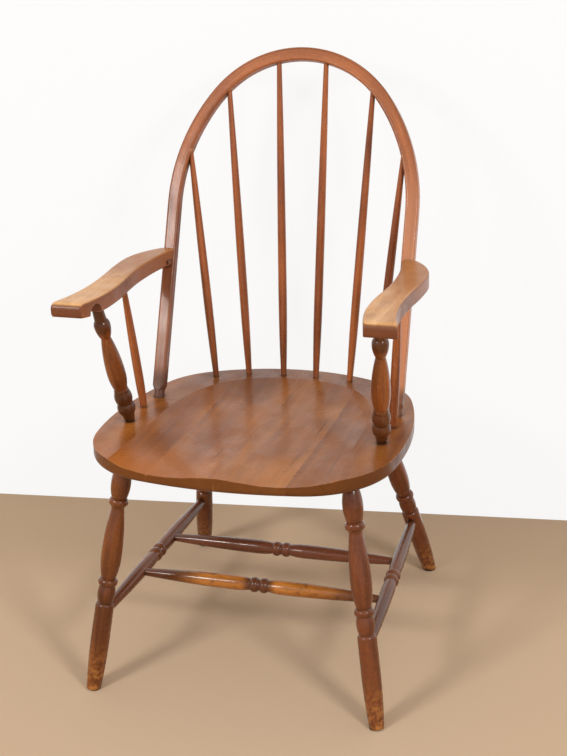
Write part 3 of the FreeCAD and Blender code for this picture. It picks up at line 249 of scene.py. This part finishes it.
def stained_grain():
    """Stained close-grained wood. Its grain runs along z of the vector."""
    tree, given, result = new_group(
        "Stained grain",
        [
            ("Vector", "vector", None),
            ("Pale", "colour", paint(200, 140, 90)),
            ("Deep", "colour", paint(110, 60, 35)),
            ("Figure", "number", 1.0),
            ("Flecks", "number", 0.5),
        ],
        [("Color", "colour"), ("Height", "number")],
    )
    along = stretch(tree, given["Vector"], (1, 1, 0.05))
    bands = cloud(tree, along, 55, 4, 0.55, 0.8)
    streaks = cloud(tree, stretch(tree, given["Vector"], (1, 1, 0.02)), 420, 3, 0.6)
    uptake = cloud(tree, stretch(tree, given["Vector"], (1, 1, 0.35)), 14, 3, 0.5)
    depth = calc(tree, "SUBTRACT", bands, 0.5)
    depth = calc(tree, "MULTIPLY", depth, calc(tree, "MULTIPLY", given["Figure"], 1.9))
    patch = calc(tree, "MULTIPLY", calc(tree, "SUBTRACT", uptake, 0.5), 1.5)
    depth = calc(tree, "ADD", calc(tree, "ADD", depth, patch), 0.5, clamp=True)
    colour = mix(tree, depth, given["Pale"], given["Deep"])
    line = between(tree, streaks, 0.50, 0.72)
    line = calc(tree, "MULTIPLY", line, calc(tree, "MULTIPLY", given["Figure"], 0.45))
    colour = mix(tree, line, colour, mix(tree, 0.75, given["Pale"], given["Deep"], "MULTIPLY"))
    pores = cloud(tree, stretch(tree, given["Vector"], (1, 1, 0.09)), 1300, 1, 0.5)
    pore = between(tree, pores, 0.60, 0.70)
    pore = calc(tree, "MULTIPLY", pore, given["Flecks"])
    colour = mix(tree, pore, colour, mix(tree, 0.9, given["Deep"], given["Deep"], "MULTIPLY"))
    tree.links.new(colour, result["Color"])
    ridge = calc(tree, "SUBTRACT", calc(tree, "MULTIPLY", streaks, 0.5), pore)
    tree.links.new(ridge, result["Height"])
    return tree


def years_of_use():
    """Darkening in the quirks and where parts meet, partly dirt and partly painted shade,
    stain rubbed off the edges, dull and bright patches.
    """
    tree, given, result = new_group(
        "Years of use",
        [
            ("Vector", "vector", None),
            ("Color", "colour", paint(150, 90, 55)),
            ("Worn", "colour", paint(205, 150, 105)),
            ("Dirt and shade", "colour", paint(38, 22, 15)),
            ("Wear", "number", 0.5),
            ("Grime and shade", "number", 0.6),
            ("Height", "number", 0.0),
        ],
        [("Color", "colour"), ("Dullness", "number"), ("Height", "number")],
    )
    broken = cloud(tree, given["Vector"], 45, 4, 0.6)
    # Dirt and painted shade: occlusion darkens quirks, hollows and joins between parts towards
    # the dark colour.
    hidden = node(tree, "AmbientOcclusion", {"Distance": 0.009}, samples=8)
    dirt_and_shade = between(tree, hidden.outputs["AO"], 0.94, 0.50)
    dirt_and_shade = calc(tree, "MULTIPLY", dirt_and_shade, between(tree, broken, 0.25, 0.6, 0.55, 1.0))
    edge = node(tree, "AmbientOcclusion", {"Distance": 0.004}, samples=8, inside=True)
    arris = between(tree, edge.outputs["AO"], 0.80, 0.25)
    arris = calc(tree, "MULTIPLY", arris, between(tree, broken, 0.38, 0.62))
    arris = calc(tree, "MULTIPLY", arris, given["Wear"], clamp=True)
    colour = mix(tree, arris, given["Color"], given["Worn"])
    dirt_and_shade = calc(tree, "MULTIPLY", dirt_and_shade, given["Grime and shade"], clamp=True)
    colour = mix(tree, dirt_and_shade, colour, given["Dirt and shade"])
    knocks = cloud(tree, given["Vector"], 210, 2, 0.5, 0.4)
    knock = between(tree, knocks, 0.74, 0.79)
    colour = mix(tree, calc(tree, "MULTIPLY", knock, 0.65), colour, given["Dirt and shade"])
    tree.links.new(colour, result["Color"])
    hands = cloud(tree, given["Vector"], 22, 3, 0.6)
    dull = calc(tree, "ADD", between(tree, hands, 0.3, 0.75), dirt_and_shade, clamp=True)
    tree.links.new(dull, result["Dullness"])
    low = calc(tree, "SUBTRACT", given["Height"], calc(tree, "MULTIPLY", knock, 2.0))
    tree.links.new(low, result["Height"])
    return tree


GRAIN = stained_grain()
AGE = years_of_use()


def group(tree, inside, feeds):
    made = tree.nodes.new("ShaderNodeGroup")
    made.node_tree = inside
    for where, what in feeds.items():
        if isinstance(what, bpy.types.NodeSocket):
            tree.links.new(what, made.inputs[where])
        else:
            made.inputs[where].default_value = what
    return made.outputs


def piece_vector(tree, placing):
    """Coordinates laid along the piece, z with its grain."""
    place = node(tree, "TexCoord")
    inverse = placing.inverted()
    laid = node(
        tree,
        "Mapping",
        {
            "Vector": place.outputs["Object"],
            "Location": inverse.translation,
            "Rotation": Vector(inverse.to_euler()),
        },
    )
    return laid.outputs[0]


def varnished(tree, colour, dullness, height, shine, coat, relief=0.00025):
    """Satin varnish over the wood. shine is the roughness where best and worst."""
    rough = between(tree, dullness, 0.0, 1.0, *shine)
    bump = node(
        tree, "Bump", {"Strength": 0.5, "Distance": relief, "Height": height}
    )
    surface = node(
        tree,
        "BsdfPrincipled",
        {
            "Base Color": colour,
            "Roughness": rough,
            "Normal": bump.outputs[0],
            "Specular IOR Level": 0.26,
            "Coat Weight": coat,
            "Coat Roughness": 0.12,
        },
    )
    node(tree, "OutputMaterial", {"Surface": surface.outputs[0]})


def dress(name, material):
    """Give a piece made in the workshop its finish."""
    piece = nodes[name]
    piece.data.materials.clear()
    piece.data.materials.append(material)
    piece.data.polygons.foreach_set("material_index", [0] * len(piece.data.polygons))


def drying_check(tree, vector, out, start, end, width):
    """A fine dark crack along the grain, wandering a little."""
    parts = axes(tree, vector)
    wander = cloud(tree, stretch(tree, vector, (0, 0, 1)), 35, 3, 0.6)
    sway = 0.004
    closing = 0.03
    line = calc(tree, "ADD", parts[0], calc(tree, "MULTIPLY", wander, sway))
    aside = calc(tree, "ABSOLUTE", calc(tree, "SUBTRACT", line, out + sway / 2))
    open_width = calc(
        tree,
        "MULTIPLY",
        between(tree, parts[2], start, start + closing),
        between(tree, parts[2], end, end - closing),
    )
    reach = calc(tree, "MULTIPLY", open_width, width)
    return calc(tree, "MULTIPLY", calc(tree, "LESS_THAN", aside, reach), open_width)


# Each drying check: how far to the right, from and to how far behind the front
# rim, and half its width.
drying_checks = [
    (-0.030, 0.055, 0.150, 0.0006),
    (0.006, 0.340, 0.440, 0.0005),
    (0.104, 0.215, 0.330, 0.0008),
    (0.100, 0.080, 0.175, 0.0006),
    (0.172, 0.060, 0.180, 0.0004),
]
seat_slope = math.radians(3.75)
seat_front = Vector((0.0, -0.3079, 0.4435))
grain_back = Matrix.Rotation(-seat_slope, 4, "X") @ Matrix.Rotation(-math.pi / 2, 4, "X")
seat_place = Matrix.Translation(seat_front) @ grain_back


def seat_material(name, shift, pale, deep):
    material, tree = new_material(name)
    laid = piece_vector(tree, seat_place)
    moved = slid(tree, laid, shift)
    wood = group(tree, GRAIN, {"Vector": moved, "Pale": pale, "Deep": deep,
                               "Figure": 0.55, "Flecks": 0.30})
    parts = axes(tree, laid)
    sat = cloud(tree, stretch(tree, laid, (1, 1, 0.8)), 5.5, 2, 0.5)
    rubbed = between(tree, sat, 0.45, 0.62)
    colour = stain(tree, rubbed, 0.5, wood["Color"], paint(128, 72, 36))
    front = between(tree, parts[2], 0.16, 0.02)
    left = between(tree, parts[0], 0.08, -0.16)
    warm = calc(tree, "MULTIPLY", front, left)
    colour = stain(tree, warm, 0.55, colour, paint(188, 106, 34))
    edge = between(tree, facing(tree)[2], 0.75, 0.30)
    colour = stain(tree, edge, 0.8, colour, paint(92, 48, 12))
    rear = between(tree, parts[2], 0.34, 0.50)
    colour = stain(tree, rear, 0.35, colour, paint(112, 66, 36))
    for out, start, end, width in drying_checks:
        crack = drying_check(tree, laid, out, start, end, width)
        colour = stain(tree, crack, 0.75, colour, paint(45, 24, 16))
    aged = group(tree, AGE, {"Vector": laid, "Color": colour,
                             "Worn": paint(204, 138, 78), "Wear": 0.75,
                             "Grime and shade": 0.75, "Height": wood["Height"]})
    varnished(tree, aged["Color"], aged["Dullness"], aged["Height"],
              shine=(0.26, 0.44), coat=0.14, relief=0.00012)
    return material


# Each board, from the left: how its grain is slid, its pale and its deep tone.
board_tones = [
    ((0.31, 0.02, 0.0), paint(176, 106, 44), paint(116, 62, 22)),
    ((0.12, 0.05, 0.2), paint(176, 108, 50), paint(114, 62, 26)),
    ((0.55, 0.03, 0.4), paint(188, 120, 58), paint(126, 72, 32)),
    ((0.83, 0.07, 0.1), paint(172, 106, 48), paint(112, 60, 26)),
]
for number, (shift, pale, deep) in enumerate(board_tones, start=1):
    dress("seat_board_%d" % number,
          seat_material("seat_board_%d_finish" % number, shift, pale, deep))


# The legs: four matching turnings of stained hardwood, let blind into the
# seat. Feet are scuffed pale and the quirks beside the rings are darkened,
# partly by dirt and partly by painted shade.
def turning_axis(name):
    """Where a turned piece lies: its foot, with z along it."""
    mesh = nodes[name].data
    points = np.empty(len(mesh.vertices) * 3)
    mesh.vertices.foreach_get("co", points)
    points = points.reshape(-1, 3)
    middle = (points.max(0) + points.min(0)) / 2
    main = np.linalg.svd(points[:: max(1, len(points) // 4000)] - middle)[2][0]
    for _ in range(3):
        reach = (points - middle) @ main
        low = points[reach < reach.min() + 0.002].mean(0)
        high = points[reach > reach.max() - 0.002].mean(0)
        main = (high - low) / np.linalg.norm(high - low)
    if main[int(np.argmax(np.abs(main)))] < 0:
        main, low, high = -main, high, low
    turn = Vector((0, 0, 1)).rotation_difference(Vector(main)).to_matrix().to_4x4()
    return Matrix.Translation(Vector(low)) @ turn, float(np.linalg.norm(high - low))


def turned_material(name, placing, pale, deep, shift, wear, grime_and_shade,
                    scuffed=None, rings=()):
    """Stained wood turned in a lathe, its grain slid by shift.

    scuffed is how high the foot is rubbed and to what colour, and rings is
    where along the piece dark polish has gathered: from, to, and its share.
    """
    material, tree = new_material(name)
    laid = piece_vector(tree, placing)
    up = axes(tree, laid)[2]
    moved = slid(tree, laid, shift)
    wood = group(tree, GRAIN, {"Vector": moved, "Pale": pale, "Deep": deep,
                               "Figure": 1.0, "Flecks": 0.45})
    colour = wood["Color"]
    if scuffed is not None:
        height, scuff = scuffed
        near = between(tree, up, height, 0.0)
        broken = between(tree, cloud(tree, laid, 90, 4, 0.65), 0.42, 0.62)
        rubbed = calc(tree, "MULTIPLY", near, broken)
        colour = stain(tree, rubbed, 0.7, colour, scuff)
    for start, end, share in rings:
        past = between(tree, up, start - 0.008, start + 0.004)
        before = between(tree, up, end + 0.008, end - 0.004)
        gathered = calc(tree, "MULTIPLY", past, before)
        colour = stain(tree, gathered, share, colour, paint(62, 32, 16))
    aged = group(tree, AGE, {"Vector": moved, "Color": colour,
                             "Worn": paint(190, 120, 66), "Wear": wear,
                             "Grime and shade": grime_and_shade, "Height": wood["Height"]})
    varnished(tree, aged["Color"], aged["Dullness"], aged["Height"],
              shine=(0.18, 0.36), coat=0.45)
    return material


leg_scuff = (0.10, paint(196, 128, 62))
leg_tones = {
    "leg_front_left": (paint(152, 84, 34), paint(86, 42, 16)),
    "leg_front_right": (paint(138, 74, 38), paint(82, 40, 20)),
    "leg_rear_left": (paint(136, 74, 34), paint(80, 38, 18)),
    "leg_rear_right": (paint(138, 72, 34), paint(82, 38, 18)),
}
for number, (name, (pale, deep)) in enumerate(leg_tones.items()):
    placing, length = turning_axis(name)
    dress(name, turned_material(name + "_finish", placing, pale, deep,
                                (0.4 * number, 0.1, 0), wear=0.7, grime_and_shade=0.85,
                                scuffed=leg_scuff))


# The stretchers: turned like the legs, each with a double bead. Feet have
# rubbed the front cross stretcher back to golden wood between dark beads.
golden = paint(206, 130, 54)
stretcher_tones = {
    "side_stretcher_left": (paint(132, 74, 42), paint(78, 40, 22), 0.5),
    "side_stretcher_right": (paint(138, 82, 50), paint(84, 46, 28), 0.5),
    "cross_stretcher_rear": (paint(136, 78, 52), paint(78, 42, 28), 0.5),
}
for number, (name, (pale, deep, wear)) in enumerate(stretcher_tones.items()):
    placing, length = turning_axis(name)
    dress(name, turned_material(name + "_finish", placing, pale, deep,
                                (0.3 * number, 0.4, 0), wear=wear, grime_and_shade=0.9))


def foot_rail_material(name, placing, length):
    material, tree = new_material(name)
    laid = piece_vector(tree, placing)
    wood = group(tree, GRAIN, {"Vector": laid, "Pale": paint(120, 68, 38),
                               "Deep": paint(72, 38, 22), "Figure": 1.0,
                               "Flecks": 0.5})
    rubbed = group(tree, GRAIN, {"Vector": laid, "Pale": golden,
                                 "Deep": paint(128, 74, 34), "Figure": 1.2,
                                 "Flecks": 0.6})
    along = axes(tree, laid)[2]
    from_middle = calc(tree, "ABSOLUTE", calc(tree, "SUBTRACT", along, length / 2))
    on_rail = between(tree, from_middle, length * 0.40, length * 0.20)
    off_beads = between(tree, from_middle, 0.018, 0.034)
    broken = between(tree, cloud(tree, laid, 30, 4, 0.6), 0.30, 0.50)
    share = calc(tree, "MULTIPLY", calc(tree, "MULTIPLY", on_rail, off_beads), broken)
    colour = mix(tree, share, wood["Color"], rubbed["Color"])
    aged = group(tree, AGE, {"Vector": laid, "Color": colour, "Worn": golden,
                             "Wear": 0.9, "Grime and shade": 1.0, "Height": wood["Height"]})
    varnished(tree, aged["Color"], aged["Dullness"], aged["Height"],
              shine=(0.18, 0.36), coat=0.45)
    return material


placing, length = turning_axis("cross_stretcher_front")
dress("cross_stretcher_front",
      foot_rail_material("cross_stretcher_front_finish", placing, length))


# The bow: one stick steamed and bent, whittled round at both ends and let
# into the seat. Its grain follows the bend, its arrises are rubbed pale, the
# right side, which faces the lamps, is painted lighter as painted light, the
# left side below the spring is painted darker as painted shade, and the
# whittled feet are dark.
bow_rake = math.radians(3.75 + 21.8)
bow_foot = Vector((0.0, 0.0254, 0.4217))
bow_place = Matrix.Translation(bow_foot) @ Matrix.Rotation(-bow_rake, 4, "X")
bow_half, bow_spring, bow_rise = 0.222, 0.357, 0.634
crown_radius = 0.193
crown_drop = bow_rise - crown_radius - bow_spring
side_radius = (bow_half**2 + crown_drop**2 - crown_radius**2) / (
    2 * (bow_half - crown_radius)
)


def along_the_bow(tree, vector):
    """Coordinates that follow the bent stick, z with its grain."""
    parts = axes(tree, vector)
    out = calc(tree, "ABSOLUTE", parts[0])
    up = parts[2]
    crown_up = calc(tree, "SUBTRACT", up, bow_rise - crown_radius)
    side_out = calc(tree, "SUBTRACT", out, bow_half - side_radius)
    side_up = calc(tree, "SUBTRACT", up, bow_spring)

    def distance(first, second):
        squares = calc(tree, "ADD", calc(tree, "POWER", first, 2.0),
                       calc(tree, "POWER", second, 2.0))
        return calc(tree, "SQRT", squares)

    on_crown = calc(tree, "SUBTRACT", distance(out, crown_up), crown_radius)
    on_side = calc(tree, "SUBTRACT", distance(side_out, side_up), side_radius)
    on_leg = calc(tree, "SUBTRACT", out, bow_half)
    side_angle = calc(tree, "ARCTAN2", side_up, side_out)
    join_angle = math.asin(crown_drop / (side_radius - crown_radius))
    crown_angle = calc(tree, "ARCTAN2", crown_up, out)
    past_join = calc(tree, "GREATER_THAN", side_angle, join_angle)
    past_spring = calc(tree, "GREATER_THAN", side_up, 0.0)

    def choose(flag, no, yes):
        step = calc(tree, "MULTIPLY", calc(tree, "SUBTRACT", yes, no), flag)
        return calc(tree, "ADD", no, step)

    radial = choose(past_spring, on_leg, choose(past_join, on_side, on_crown))
    side_run = calc(tree, "MULTIPLY", side_angle, side_radius)
    crown_run = calc(tree, "ADD", calc(tree, "MULTIPLY", crown_angle, crown_radius),
                     join_angle * (side_radius - crown_radius))
    run = choose(past_spring, side_up, choose(past_join, side_run, crown_run))
    laid = node(tree, "CombineXYZ", {0: radial, 1: parts[1], 2: run})
    return laid.outputs[0]


def bow_material(name):
    material, tree = new_material(name)
    laid = along_the_bow(tree, piece_vector(tree, bow_place))
    wood = group(tree, GRAIN, {"Vector": laid, "Pale": paint(182, 108, 62),
                               "Deep": paint(112, 60, 34), "Figure": 1.2,
                               "Flecks": 0.5})
    run = axes(tree, laid)[2]
    aside = axes(tree, node(tree, "TexCoord").outputs["Object"])[0]
    right = between(tree, aside, -0.02, 0.08)
    left = calc(tree, "SUBTRACT", 1.0, right)
    # Painted shade: the left side of the bow below the spring, in shade behind the left arm,
    # is painted darker.
    painted_shade_left = calc(tree, "MULTIPLY", between(tree, run, -0.02, -0.22), left)
    colour = stain(tree, painted_shade_left, 0.5, wood["Color"], paint(132, 90, 68))
    # Painted light: the right side of the bow, which faces the lamps, is painted lighter.
    painted_light_right = calc(tree, "MULTIPLY", right, between(tree, run, 0.12, -0.02))
    colour = stain(tree, painted_light_right, 0.4, colour, paint(232, 160, 116))
    whittled = between(tree, run, -0.300, -0.325)
    colour = stain(tree, whittled, 0.75, colour, paint(82, 50, 34))
    aged = group(tree, AGE, {"Vector": laid, "Color": colour,
                             "Worn": paint(214, 158, 118), "Wear": 1.0,
                             "Grime and shade": 0.8, "Height": wood["Height"]})
    varnished(tree, aged["Color"], aged["Dullness"], aged["Height"],
              shine=(0.30, 0.5), coat=0.18)
    return material


dress("bow", bow_material("bow_finish"))


# The spindles: six in the back and one under each arm, turned slim with the
# swelling low down. Old glue and lifted stain leave a pale ring at the seat.
hidden_tenon = 0.015
lifted_ring = 0.012
spindle_ring = (hidden_tenon + lifted_ring, paint(196, 146, 108))
for number, name in enumerate(sorted(n for n in nodes if "spindle" in n)):
    placing, length = turning_axis(name)
    dress(name, turned_material(name + "_finish", placing, paint(184, 104, 54),
                                paint(108, 54, 26), (0.2 * number, 0.0, 0.0),
                                wear=0.3, grime_and_shade=0.6, scuffed=spindle_ring))


# The arms: sawn from a board of the same wood and rounded over by hand. The
# tops are rubbed to bare tan wood, the back ends stay orange brown, and the
# front faces of the noses keep their dark stain.
def arm_material(name, side):
    material, tree = new_material(name)
    laid = piece_vector(tree, seat_place)
    moved = slid(tree, laid, (side * 0.5, 0, 0))
    bare = group(tree, GRAIN, {"Vector": moved, "Pale": paint(238, 188, 132),
                               "Deep": paint(192, 134, 80), "Figure": 0.9,
                               "Flecks": 0.5})
    stained = group(tree, GRAIN, {"Vector": moved, "Pale": paint(164, 100, 60),
                                  "Deep": paint(112, 62, 36), "Figure": 0.8,
                                  "Flecks": 0.5})
    looks = facing(tree)
    top = between(tree, looks[2], 0.35, 0.90)
    broken = cloud(tree, moved, 16, 4, 0.6)
    share = calc(tree, "MULTIPLY", top, between(tree, broken, 0.25, 0.5, 0.55, 1.0))
    colour = mix(tree, share, stained["Color"], bare["Color"])
    nose = between(tree, looks[1], -0.45, -0.80)
    colour = stain(tree, nose, 0.8, colour, paint(106, 58, 34))
    tail = between(tree, axes(tree, laid)[2], 0.20, 0.30)
    colour = stain(tree, tail, 0.7, colour, paint(156, 90, 38))
    aged = group(tree, AGE, {"Vector": moved, "Color": colour,
                             "Worn": paint(214, 168, 130), "Wear": 0.5,
                             "Grime and shade": 0.7, "Height": bare["Height"]})
    varnished(tree, aged["Color"], aged["Dullness"], aged["Height"],
              shine=(0.30, 0.48), coat=0.15)
    return material


for name, side in (("left", -1), ("right", 1)):
    dress("arm_" + name, arm_material("arm_%s_finish" % name, side))


# The arm posts: turned like the legs but golden, tenoned into the seat and the
# arm. Dark polish has gathered on the beads at the foot and on the top knob.
post_beads = 0.32
post_knob = 0.78
for name, side in (("left", -1), ("right", 1)):
    placing, length = turning_axis("arm_post_" + name)
    dress("arm_post_" + name,
          turned_material("arm_post_%s_finish" % name, placing, paint(158, 88, 38),
                          paint(84, 42, 18), (side * 0.3, 0.2, 0), wear=0.7,
                          grime_and_shade=0.9,
                          rings=[(0.0, length * post_beads, 0.7),
                                 (length * post_knob, length, 0.7)]))


# The arm dowels: small turned pegs driven through the bow into the ends of the
# arms, with a little of each left standing behind.
for name, side in (("left", -1), ("right", 1)):
    placing, length = turning_axis("arm_dowel_" + name)
    dress("arm_dowel_" + name,
          turned_material("arm_dowel_%s_finish" % name, placing, paint(120, 72, 50),
                          paint(80, 44, 30), (side * 0.1, 0.3, 0), wear=0.5,
                          grime_and_shade=0.6))
